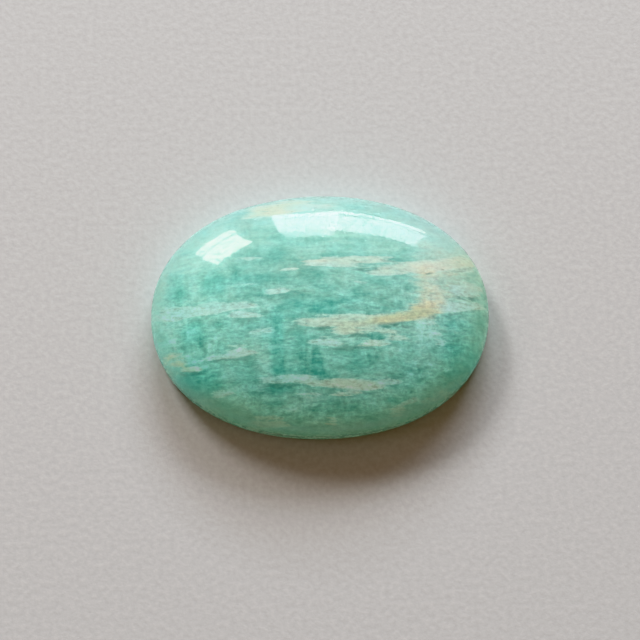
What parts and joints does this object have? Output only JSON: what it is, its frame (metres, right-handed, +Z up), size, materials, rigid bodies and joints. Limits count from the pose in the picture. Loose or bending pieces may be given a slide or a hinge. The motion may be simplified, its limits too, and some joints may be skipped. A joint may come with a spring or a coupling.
{
  "type": "amazonite oval cabochon",
  "caption": "Polished oval amazonite cabochon with a low domed crown, rounded shoulders and a flat ground base that rests on a surface or sits in a bezel cup.",
  "frame": {"origin": "centre of the flat base, on the surface that the stone rests on", "axes": "+X along the stone's length, +Y across its width, +Z up out of the crown"},
  "size_m": [0.03, 0.022, 0.0065],
  "materials": {
    "polished_amazonite": "high polish on the crown and shoulders, fine ground finish on the base, blue-green with pale streaks and ochre stains"
  },
  "bodies": {
    "root": {"amazonite_cabochon": "polished_amazonite"}
  },
  "joints": []
}
